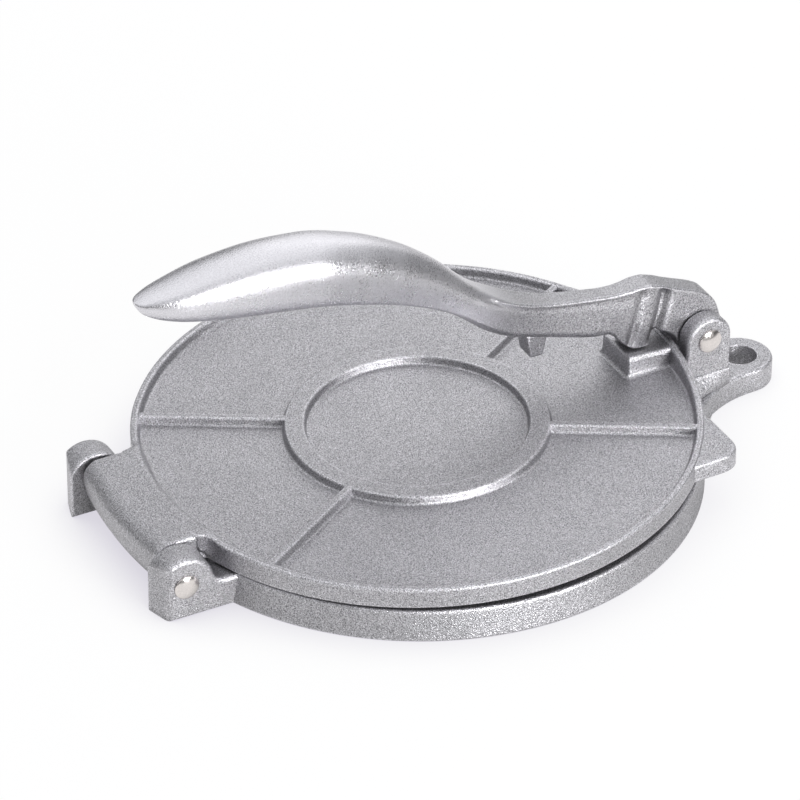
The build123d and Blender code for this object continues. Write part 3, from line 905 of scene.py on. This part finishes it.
@dataclass
class Base(Component):
    """The cast base: disc, two hinge ears, the lever's fork with its gussets, and the hanging tab."""

    body: ClassVar[Body] = Body.BASE
    slot: ClassVar[Slot] = Slot.BASE
    node: ClassVar[str] = "base"
    foot_radius: float = 102.5
    ear_radius: float = 10.9
    ear_reach: float = 125.0
    ear_ease: float = 1.9
    ear_fan: tuple = (2.4, 5.0)
    hollow_radius: float = 5.0
    flange_end: float = -88.0
    fork_radius: float = 9.15
    fork_ease: float = 1.6
    gusset_height: float = 15.5
    gusset_spread: float = 8.0
    gusset_skin: float = 0.12
    gusset_shares: tuple = (0.0, 0.45, 0.8, 0.93, 1.0)
    tab_height: float = 9.35
    tab_end_x: float = 133.5
    tab_end_radius: float = 12.0
    tab_flank_radius: float = 42.5
    tab_ease: float = 1.3
    tab_shares: tuple = (0.02, 0.08, 0.2, 0.35, 0.5, 0.65, 0.8, 0.92, 0.98)
    hole_radius: float = 6.2
    hole_ease: float = 0.4
    relief_radius: float = 11.1

    def disc(self) -> None:
        """Disc: a rounded profile, turned, with the relief behind the lug cut as a dip.

        Where a point of the top lies inside the relief's cylinder, its x is carried back to the
        cylinder's wall.
        """
        s = SIZES
        corners = [(0, 0), (self.foot_radius, 0), (s.base_top_radius, s.base_height), (0, s.base_height)]
        steps, fill = 8, 5
        points = turned(rounded_loops(corners, np.array([0.0, 1.1, 1.3, 0.0]), steps, fill)[:-fill], 480)
        behind = (np.abs(points[..., 1]) < s.ear_inner) & (points[..., 0] < 0)
        drop = np.clip(self.relief_radius**2 - (points[..., 2] - s.hinge_z) ** 2, 0, None)
        wall = s.hinge_x + np.sqrt(drop)
        points[..., 0] = np.where(behind & (points[..., 0] < wall), wall, points[..., 0])
        self.place("base_disc", points, wrap_rows=True, wrap_columns=False)

    def ears(self) -> None:
        """Two hinge ears: a crown round the pin that falls through a hollow to a low flange.

        The side outline of each layer is the crown's arc, the hollow's arc, the flange and the
        foot; the back is trimmed to a circle in plan.
        """
        s = SIZES
        place, inset = layers(s.ear_inner, s.ear_inner + s.ear_thickness, 0.5 * self.ear_ease, self.ear_ease)
        place, inset = place[:, None], inset[:, None]
        hollow_z = s.base_height + self.hollow_radius
        rise = hollow_z - s.hinge_z
        reach = math.sqrt((self.ear_radius + self.hollow_radius) ** 2 - rise**2)
        lean = math.atan2(rise, reach)
        crown = circle(s.hinge_x, s.hinge_z, self.ear_radius - inset, np.linspace(math.pi, lean, 40))
        hollow_turn = np.linspace(math.pi + lean, 1.5 * math.pi, 14)
        hollow = circle(s.hinge_x + reach, hollow_z, self.hollow_radius + inset, hollow_turn)
        flat_x = between(hollow[:, -1:, 0], self.flange_end, np.linspace(0, 1, 6)[1:])
        flat = joined(flat_x, s.base_height - inset)
        back_x = s.hinge_x - self.ear_radius + inset
        foot = joined(between(self.flange_end, back_x, np.linspace(0, 1, 12)), 0.5 * inset)
        wall = joined(back_x, np.linspace(0, 1, 6)[1:-1] * s.hinge_z)
        loops = np.concatenate([crown, hollow, flat, foot, wall], axis=1)
        fan = (s.hinge_x + self.ear_fan[0], self.ear_fan[1])
        loops[..., 0] = np.maximum(loops[..., 0], -np.sqrt((self.ear_reach - inset) ** 2 - place**2))
        for side, word in SIDES:
            self.place(f"base_hinge_ear_{word}", capped(across_press(loops, side * place), fan))

    def fork(self) -> None:
        """Two fork ears round the lever pin: straight sides under a half circle, edges eased."""
        s = SIZES
        place, inset = layers(s.fork_inner, s.fork_inner + s.fork_thickness, 0.5 * self.fork_ease, self.fork_ease)
        radius = self.fork_radius - inset[:, None]
        crown = circle(s.pivot_x, s.pivot_z, radius, np.linspace(0, math.pi, 44))
        down = between(s.pivot_z, self.tab_height - 2.0, np.linspace(0, 1, 9)[1:])
        back, front = joined(s.pivot_x - radius, down), joined(s.pivot_x + radius, down[::-1])
        loops = np.concatenate([crown, back, front], axis=1)
        for side, word in SIDES:
            self.place(f"base_fork_ear_{word}", capped(across_press(loops, side * place[:, None])))

    def gussets(self) -> None:
        """Sloping feet outside the fork ears: a four-sided plan that shrinks from foot to crease."""
        s = SIZES
        outer = s.fork_inner + s.fork_thickness
        hidden, skin = outer - 3, outer + self.gusset_skin
        start, end = s.pivot_x - self.fork_radius, s.pivot_x + self.fork_radius
        share = np.array(self.gusset_shares)
        height = between(self.tab_height - 1.5, self.gusset_height, share)
        spread = skin + self.gusset_spread * (1 - share)
        plan = ((start, hidden), (start, spread), (end, skin), (end, hidden))
        for side, word in SIDES:
            corners = np.stack([joined(x + 0 * share, side * y) for x, y in plan], axis=1)
            loops = rounded_loops(corners, 0.7, 5, 8)
            self.place(f"base_gusset_{word}", capped(at_heights(loops, height[:, None])))

    def tab(self) -> None:
        """Hanging tab: rings from its outline over the top to the hole and back underneath.

        The outline is an end arc and two flaring flanks; each point has a partner on the hole's
        circle, and eased edges draw the outline in along its normals. Between the two, y moves
        by a share t and x by t^2.5, which keeps clear of the flanks.
        """
        flank_y = self.tab_end_radius + self.tab_flank_radius
        half_turn = np.linspace(-math.pi / 2, math.pi / 2, 50)
        near = circle(self.tab_end_x, -flank_y, self.tab_flank_radius, np.radians(np.linspace(152, 90, 26)))
        end = circle(self.tab_end_x, 0.0, self.tab_end_radius, half_turn[1:-1])
        far = near[::-1] * (1.0, -1.0)
        close = joined(near[0, 0], np.linspace(far[-1, 1], near[0, 1], 24)[1:-1])
        outline = np.concatenate([near, end, far, close])
        tangent = np.roll(outline, -1, axis=0) - np.roll(outline, 1, axis=0)
        tangent = tangent / np.linalg.norm(tangent, axis=1, keepdims=True)
        inward = joined(-tangent[:, 1], tangent[:, 0])
        partners = [
            np.linspace(-175, -95, len(near)),
            np.linspace(-95, 95, len(end) + 2)[1:-1],
            np.linspace(95, 175, len(far)),
            np.linspace(175, 185, len(close) + 2)[1:-1],
        ]
        away = circle(0.0, 0.0, 1.0, np.radians(np.concatenate(partners)))
        hole = np.array([self.tab_end_x, 0.0]) + self.hole_radius * away
        high, lip = self.tab_height, self.hole_ease
        brink, rim = outline + inward * self.tab_ease, hole + away * lip
        turns = list(zip(*quarter()))
        rows = [(outline + inward * inset, z) for inset, z in slab_edge(0.0, high, self.tab_ease)]
        rows += [(between(brink, rim, np.array([share**2.5, share])), high) for share in self.tab_shares]
        rows += [(hole + away * lip * fall, high - lip * rise) for rise, fall in turns]
        rows += [(hole + away * lip * rise, lip * fall) for rise, fall in turns]
        rings = np.stack([at_heights(plan, z) for plan, z in rows])
        self.place("base_hanging_tab", rings, wrap_rows=True)

    def make(self) -> None:
        """Builds every piece of the base."""
        for part in (self.disc, self.ears, self.fork, self.gussets, self.tab):
            part()


@dataclass
class Lever(Component):
    """The cast lever: one skin from the handle's tip through the arm and the cam nub to the hub.

    Each station gives x, then across and up of four corners of the half section: crown,
    shoulder, lower edge and underside, then the rounding of crown, shoulder and lower edge.
    Each fold is a groove on the head: its place, depth and width.
    """

    body: ClassVar[Body] = Body.LEVER
    slot: ClassVar[Slot] = Slot.LEVER
    node: ClassVar[str] = "lever"
    stations: tuple = (
        (-109.2, 0.5, 103.9, 1.1, 103.6, 0.9, 103.2, 0.5, 103.0, 9, 9, 9),
        (-108.8, 1.2, 104.1, 2.5, 103.5, 2.0, 102.5, 1.1, 102.0, 9, 9, 9),
        (-107.6, 2.2, 104.6, 4.1, 103.7, 3.2, 100.7, 1.8, 100.1, 9, 9, 9),
        (-103.5, 3.0, 106.0, 6.4, 104.4, 5.9, 98.7, 2.9, 97.7, 9, 7, 5),
        (-95, 4.2, 107.9, 9.2, 105.2, 9.2, 96.8, 4.6, 95.0, 9, 6, 4),
        (-81, 5.2, 110.8, 11.3, 106.6, 11.4, 94.6, 6.0, 92.7, 9, 6, 5),
        (-63, 5.8, 112.3, 12.4, 106.8, 12.7, 92.5, 7.0, 90.4, 9, 6, 5),
        (-44, 5.8, 111.0, 12.4, 105.3, 12.9, 89.5, 7.2, 87.7, 9, 6, 4.5),
        (-26, 5.3, 106.4, 11.4, 99.6, 11.5, 84.2, 6.4, 82.9, 9, 6, 3),
        (-8, 4.6, 97.9, 10.4, 89.6, 9.1, 77.3, 5.2, 76.5, 9, 9, 1.4),
        (8, 3.9, 85.9, 8.5, 79.4, 7.4, 69.0, 4.8, 68.2, 9, 9, 1.0),
        (14, 4.3, 80.0, 8.0, 74.1, 7.0, 65.2, 5.1, 63.7, 8, 7, 0.9),
        (18, 4.9, 76.1, 7.8, 70.7, 7.0, 62.5, 5.2, 60.5, 6, 5, 0.9),
        (23, 5.7, 71.9, 7.5, 66.6, 6.9, 59.2, 5.2, 56.2, 4, 3, 0.9),
        (29, 6.2, 67.7, 6.9, 62.2, 6.7, 55.0, 5.1, 52.4, 2, 2, 0.9),
        (35, 6.1, 64.1, 6.3, 57.9, 6.4, 51.6, 5.0, 49.4, 1.1, 1, 0.9),
        (50, 4.7, 58.4, 5.4, 52.6, 6.1, 46.9, 4.9, 44.6, 0.9, 1, 0.9),
        (68, 3.9, 54.9, 4.9, 48.0, 5.9, 41.4, 4.9, 39.2, 0.9, 1, 0.9),
        (75, 3.8, 53.8, 4.8, 46.5, 5.6, 40.0, 4.8, 38.1, 0.9, 1, 0.9),
        (79.5, 3.9, 53.5, 4.9, 45.0, 5.8, 34.6, 4.6, 33.8, 0.9, 1, 0.9),
        (83, 4.2, 53.6, 5.3, 42.0, 6.0, 31.2, 4.9, 30.5, 0.9, 1, 0.9),
        (85.2, 4.4, 53.8, 5.8, 40.0, 6.1, 30.1, 5.0, 29.5, 0.9, 1, 0.9),
        (88, 4.6, 54.0, 6.1, 39.0, 6.2, 29.8, 5.0, 29.2, 0.9, 1, 0.9),
        (90.4, 4.6, 54.0, 6.1, 38.5, 6.2, 29.9, 5.0, 29.3, 0.9, 1, 0.9),
        (91.9, 4.6, 53.9, 6.1, 39.0, 6.2, 31.2, 5.0, 30.5, 0.9, 1, 0.9),
        (93.0, 4.6, 53.6, 6.1, 39.5, 6.2, 34.0, 5.0, 33.3, 0.9, 1, 0.9),
        (94.2, 4.6, 53.2, 6.1, 39.8, 6.2, 35.2, 5.0, 34.4, 0.9, 1, 0.9),
        (97, 4.6, 52.2, 6.1, 39.0, 6.2, 34.3, 5.0, 33.3, 0.9, 1, 0.9),
        (101, 4.6, 50.3, 6.1, 38.0, 6.2, 31.6, 5.0, 30.6, 0.9, 1, 0.9),
        (103.2, 4.6, 49.4, 6.2, 37.5, 6.2, 27.9, 5.2, 27.0, 0.9, 1, 0.9),
        (105, 4.6, 48.6, 6.2, 37.0, 6.2, 24.4, 5.5, 23.6, 0.9, 1, 0.9),
        (108, 4.6, 47.4, 6.2, 36.5, 6.2, 21.9, 5.5, 21.1, 0.9, 1, 0.9),
        (112.1, 4.6, 45.6, 6.2, 36.0, 6.2, 20.9, 5.5, 20.2, 0.9, 1, 0.9),
        (116, 4.8, 43.2, 6.2, 35.0, 6.2, 21.8, 5.5, 21.1, 0.9, 1, 0.9),
        (118.8, 5.2, 39.6, 6.2, 33.5, 6.2, 24.0, 5.5, 23.3, 0.9, 1, 0.9),
        (120.4, 5.6, 34.5, 6.2, 31.5, 6.2, 26.3, 5.6, 25.6, 0.9, 1, 0.9),
        (121.2, 5.8, 31.0, 6.0, 30.0, 6.0, 28.6, 5.7, 28.3, 0.9, 1, 0.9),
    )
    under_round: float = 1.0
    head_start: float = 68.0
    folds: tuple = ((95.7, 2.3, 2.2), (85.8, 0.8, 1.6))
    fold_lean: float = 0.30
    fold_height: float = 42.0
    seam_drop: float = 2.1
    seam_depth: float = 0.35
    seam_width: float = 0.7
    crown_ground: float = 0.12
    tooth_x: float = 45.8
    tooth_bottom: float = 36.8
    tooth_root: float = 47.5
    tooth_lengths: tuple = (2.6, 4.6)
    tooth_half: float = 4.0
    tooth_ease: float = 1.5
    tooth_tip: float = 0.16

    def bar(self) -> None:
        """Handle, arm, nub and hub in one skin.

        The stations flow into each other by a cubic along the bar; each section is a polygon
        with eased corners, mirrored about the middle plane. On the head leaning grooves draw the
        sides in by depth times exp(-(distance / width)^2), and a finer one runs under the edge
        of the crown along the arm.
        """
        table = np.array(self.stations)
        last = len(table) - 1
        head = int(np.searchsorted(table[:, 0], self.head_start))
        coarse, fine = np.linspace(0, head, 14 * head + 1)[:-1], np.linspace(head, last, 16 * (last - head) + 1)
        row = flowing(np.arange(last + 1.0), table, np.concatenate([coarse, fine]))
        half = row[:, 1:9].reshape(-1, 4, 2)
        corners = np.concatenate([half, half[:, ::-1] * (-1.0, 1.0)], axis=1)
        ease = joined(row[:, 9], row[:, 10], row[:, 11], self.under_round)
        loops = rounded_loops(corners, np.concatenate([ease, ease[:, ::-1]], axis=1), 7, 5)
        x, y, z = row[:, :1], loops[..., 0], loops[..., 1]
        under = z.max(axis=1, keepdims=True) - z
        leaned = x - self.fold_lean * (z - self.fold_height)
        side = smooth_step(np.abs(y), 3.6, 4.6) * smooth_step(z, 29.5, 32.0) * smooth_step(under, 0.6, 2.0)
        groove = sum(depth * np.exp(-(((leaned - at) / width) ** 2)) for at, depth, width in self.folds)
        stretch = smooth_step(x, 10.0, 26.0) * (1 - smooth_step(x, 84.0, 94.0))
        seam = self.seam_depth * stretch * np.exp(-(((under - self.seam_drop) / self.seam_width) ** 2))
        rings = joined(x, y - np.sign(y) * (side * groove + seam), z)
        crown = (1 - smooth_step(under, 0.8, 1.6)) * (1 - smooth_step(x, 112.0, 119.0))
        handle = 1 - smooth_step(x + 0.9 * under, 22.0, 46.0)
        ground = np.maximum(handle, self.crown_ground * crown)
        spread = np.concatenate([ground[:1], ground, ground[-1:]])
        self.place("lever_bar", capped(rings), marks={"ground": spread})

    def tooth(self) -> None:
        """Tooth under the arm: rounded rectangles that shrink downwards, eased at the tip."""
        low, root = self.tooth_lengths
        rise, fall = quarter()
        share = np.concatenate([np.linspace(0, 0.8, 6), 1 - self.tooth_tip * fall])
        inset = np.concatenate([np.zeros(6), self.tooth_ease * rise])
        z = between(self.tooth_root, self.tooth_bottom, share)
        length, width = between(root, low, share) - inset, self.tooth_half - inset
        corners = rectangle(self.tooth_x - length, self.tooth_x + length, -width, width)
        loops = rounded_loops(corners, 0.9, 6, 3)
        grid = capped(at_heights(loops, z[:, None]))
        self.place("lever_tooth", grid, marks={"ground": np.zeros(grid.shape[:2])})

    def make(self) -> None:
        """Builds every piece of the lever."""
        self.bar()
        self.tooth()


# Rivets


@dataclass
class Rivet(Component):
    """Steel rivet along the press's width, with a domed head at each end.

    Its axis is at x and z, and a head's underside is the grip away from the middle plane.
    """

    body: ClassVar[Body] = Body.BASE
    slot: ClassVar[Slot] = Slot.PIN
    node: str
    name: str
    x: float
    z: float
    grip: float
    shank: float = 3.6
    head: float = 4.6
    head_edge: float = 0.5
    dome: float = 1.2

    def make(self) -> None:
        """Turns the profile about the pin's axis.

        From the middle out, the half profile is the shank, the head's underside, its short wall
        and a dome of radius (head^2 + dome^2) / (2 dome).
        """
        size = (self.head**2 + self.dome**2) / (2 * self.dome)
        turn = np.linspace(math.asin((self.head - 0.25) / size), 0.0, 16)
        tip = self.grip + self.head_edge + self.dome
        bow = joined(size * np.sin(turn), tip - size * (1 - np.cos(turn)))
        wall = [
            (self.shank, 0.0),
            (self.shank, self.grip),
            (self.head - 0.15, self.grip),
            (self.head, self.grip + 0.15),
            (self.head, self.grip + self.head_edge * 0.8),
            (self.head - 0.08, self.grip + self.head_edge),
        ]
        half = np.concatenate([wall, bow])
        about = turned(np.concatenate([half[::-1] * (1.0, -1.0), half[1:]]), 96)
        points = joined(self.x + about[..., 0], about[..., 2], self.z + about[..., 1])
        self.place(self.name, points, wrap_rows=True, wrap_columns=False)


# Camera, floor and lights


@dataclass(frozen=True)
class Lamp:
    """Soft rectangular lamp that faces the press; distance and size are in metres, power in watts."""

    name: str
    towards: tuple
    distance: float
    size: tuple
    power: float

    def make(self) -> None:
        """Adds the lamp to the scene."""
        data = bpy.data.lights.new(self.name, "AREA")
        data.shape = "RECTANGLE"
        data.size, data.size_y = self.size
        data.energy = self.power
        thing = bpy.data.objects.new(self.name, data)
        way = Vector(self.towards).normalized()
        thing.location = way * self.distance
        thing.rotation_mode = "QUATERNION"
        thing.rotation_quaternion = way.to_track_quat("Z", "Y")
        bpy.context.scene.collection.objects.link(thing)


@dataclass
class Studio:
    """White floor and background, soft lamps, and the camera at the photograph's angle.

    The lamps are an overhead box, a small window box at the front, and two weaker boxes behind
    at the right.
    """

    azimuth: float = math.radians(-28.2227)
    elevation: float = math.radians(33.8528)
    roll: float = math.radians(0.4235)
    pixels_per_mm: float = 2.8069
    nearness: float = 0.000527192
    centre_u: float = 417.067
    centre_v: float = 471.3283
    floor_half: float = 6.0
    floor_colour: tuple = (0.93, 0.92, 0.94, 1.0)
    shade_reach: float = 0.07
    shade_colour: tuple = (0.71, 0.69, 0.76, 1.0)
    camera_share: float = 0.94
    glossy_share: float = 0.9
    room_colour: tuple = (0.97, 0.98, 1.0, 1.0)
    white: tuple = (1.0, 1.0, 1.0, 1.0)
    lamps: tuple = (
        Lamp("overhead", (0.1, 0.35, 1.0), 1.6, (2.6, 2.2), 6.0),
        Lamp("window", (0.21, -0.93, 0.27), 1.5, (0.46, 0.42), 20.0),
        Lamp("rear", (0.75, 0.8, 0.55), 1.1, (0.9, 0.7), 0.9),
        Lamp("side", (0.56, 0.66, 0.50), 0.52, (0.4, 0.35), 0.15),
    )

    def camera(self) -> None:
        """Sets the camera from its azimuth, elevation, roll, distance and the origin's pixel."""
        a, e, r = self.azimuth, self.elevation, self.roll
        right = np.array([math.cos(a), math.sin(a), 0.0])
        ahead = np.array([-math.sin(a) * math.cos(e), math.cos(a) * math.cos(e), -math.sin(e)])
        up = np.cross(right, ahead)
        across = math.cos(r) * right + math.sin(r) * up
        upward = -math.sin(r) * right + math.cos(r) * up
        middle = 0.5 * IMAGE_SIZE
        off_x = (self.centre_u - middle) / self.pixels_per_mm
        off_y = (self.centre_v - middle) / self.pixels_per_mm
        place = (-off_x * across + off_y * upward - ahead / self.nearness) * MM
        data = bpy.data.cameras.new("camera")
        data.sensor_width = SENSOR_WIDTH
        data.lens = SENSOR_WIDTH * self.pixels_per_mm / self.nearness / IMAGE_SIZE
        data.clip_start, data.clip_end = 0.1, 50.0
        seen = bpy.data.objects.new("camera", data)
        turn = Matrix(np.column_stack([across, upward, -ahead]).tolist()).to_4x4()
        seen.matrix_world = Matrix.Translation(Vector(place.tolist())) @ turn
        bpy.context.scene.collection.objects.link(seen)
        bpy.context.scene.camera = seen

    def floor_finish(self) -> Material:
        """Makes the floor's material: matt for the lamps, self-lit for the camera with a painted shadow.

        The painted shadow, where the press is near, is deeper on the hinge's side. In the metal's
        reflections the floor is a painted pool of white light that fades with distance, with painted
        shade under the press and at the front right.

        Returns:
            The material.
        """
        sheet = Sheet(bpy.data.materials.new("studio_floor"))
        where = sheet.place()
        along, across, _ = sheet.add("ShaderNodeSeparateXYZ", {0: where})
        ray = sheet.add("ShaderNodeLightPath")
        # Painted contact shadow: the camera's self-lit floor darkens where the press is near, more on the hinge's
        # side.
        open_share = sheet.add("ShaderNodeAmbientOcclusion", {"Distance": self.shade_reach}, samples=12)["AO"]
        painted_shadow_share = sheet.span(open_share, 0.3, 0.85, (1.0, 0.0))
        depth = sheet.times(painted_shadow_share, sheet.span(along, -0.12, 0.09, (1.0, 0.4)))
        lit = sheet.glow(Color=sheet.blend(depth, self.white, self.shade_colour), Strength=1.0)
        # Painted reflection: in reflections the floor glows as a pool that fades with distance, with painted
        # shade under the press and at the front right.
        far = sheet.add("ShaderNodeVectorMath", {0: where}, operation="LENGTH")["Value"]
        under = sheet.span(open_share, 0.2, 0.7, (0.2, 1.0))
        bright = sheet.times(sheet.span(far, 0.4, 1.1, (1.0, 0.3)), under)
        right = sheet.span(along, 0.0, 0.07, (0.0, 0.8))
        corner = sheet.times(right, sheet.span(across, -0.17, -0.12, (1.0, 0.0)))
        pool = sheet.glow(Strength=sheet.times(bright, sheet.calc("SUBTRACT", 1.0, corner)))
        matt = sheet.add("ShaderNodeBsdfDiffuse", {"Color": self.floor_colour})[0]
        seen = sheet.calc("MAXIMUM", ray["Is Camera Ray"], ray["Is Transmission Ray"])
        shown = sheet.either(sheet.times(seen, self.camera_share), matt, lit)
        return sheet.finish(sheet.either(sheet.times(ray["Is Glossy Ray"], self.glossy_share), shown, pool))

    def floor(self) -> None:
        """Wide flat floor that the press stands on."""
        half = self.floor_half
        mesh = bpy.data.meshes.new("floor")
        corners = rectangle(-half, half, -half, half)
        mesh.from_pydata([(x, y, 0.0) for x, y in corners.tolist()], [], [(0, 1, 2, 3)])
        mesh.materials.append(self.floor_finish())
        thing = bpy.data.objects.new("floor", mesh)
        bpy.context.scene.collection.objects.link(thing)

    def world(self) -> None:
        """Room light: pale above, darker towards the horizon, white where the camera looks."""
        world = bpy.data.worlds.new("studio")
        bpy.context.scene.world = world
        sheet = Sheet(world)
        height = sheet.add("ShaderNodeSeparateXYZ", {0: sheet.add("ShaderNodeTexCoord")["Generated"]})["Z"]
        strength = sheet.span(height, 0.1, 0.65, (0.1, 0.8))
        room = sheet.add("ShaderNodeBackground", {"Color": self.room_colour, "Strength": strength})[0]
        plain = sheet.add("ShaderNodeBackground", {"Color": self.white})[0]
        mix = sheet.either(sheet.add("ShaderNodeLightPath")["Is Camera Ray"], room, plain)
        sheet.add("ShaderNodeOutputWorld", {"Surface": mix})

    def make(self) -> None:
        """Builds the stage and sets the view transform."""
        self.camera()
        self.floor()
        self.world()
        for lamp in self.lamps:
            lamp.make()
        bpy.context.scene.view_settings.view_transform = "Standard"


def main() -> None:
    """Builds the press and its stage."""
    Lid(CastFinish("cast_aluminium").material()).make()
    Base(CastFinish("cast_aluminium_base", Sand(level=0.44)).material()).make()
    Lever(LeverFinish("lever_metal").material()).make()
    steel = PinFinish("rivet_steel").material()
    s = SIZES
    Rivet(steel, "hinge_pin", "hinge_rivet", s.hinge_x, s.hinge_z, s.ear_inner + s.ear_thickness).make()
    Rivet(steel, "lever_pin", "lever_rivet", s.pivot_x, s.pivot_z, s.fork_inner + s.fork_thickness).make()
    Studio().make()


if __name__ == "__main__":
    logging.basicConfig(level=logging.INFO, format="%(name)s %(message)s")
    main()
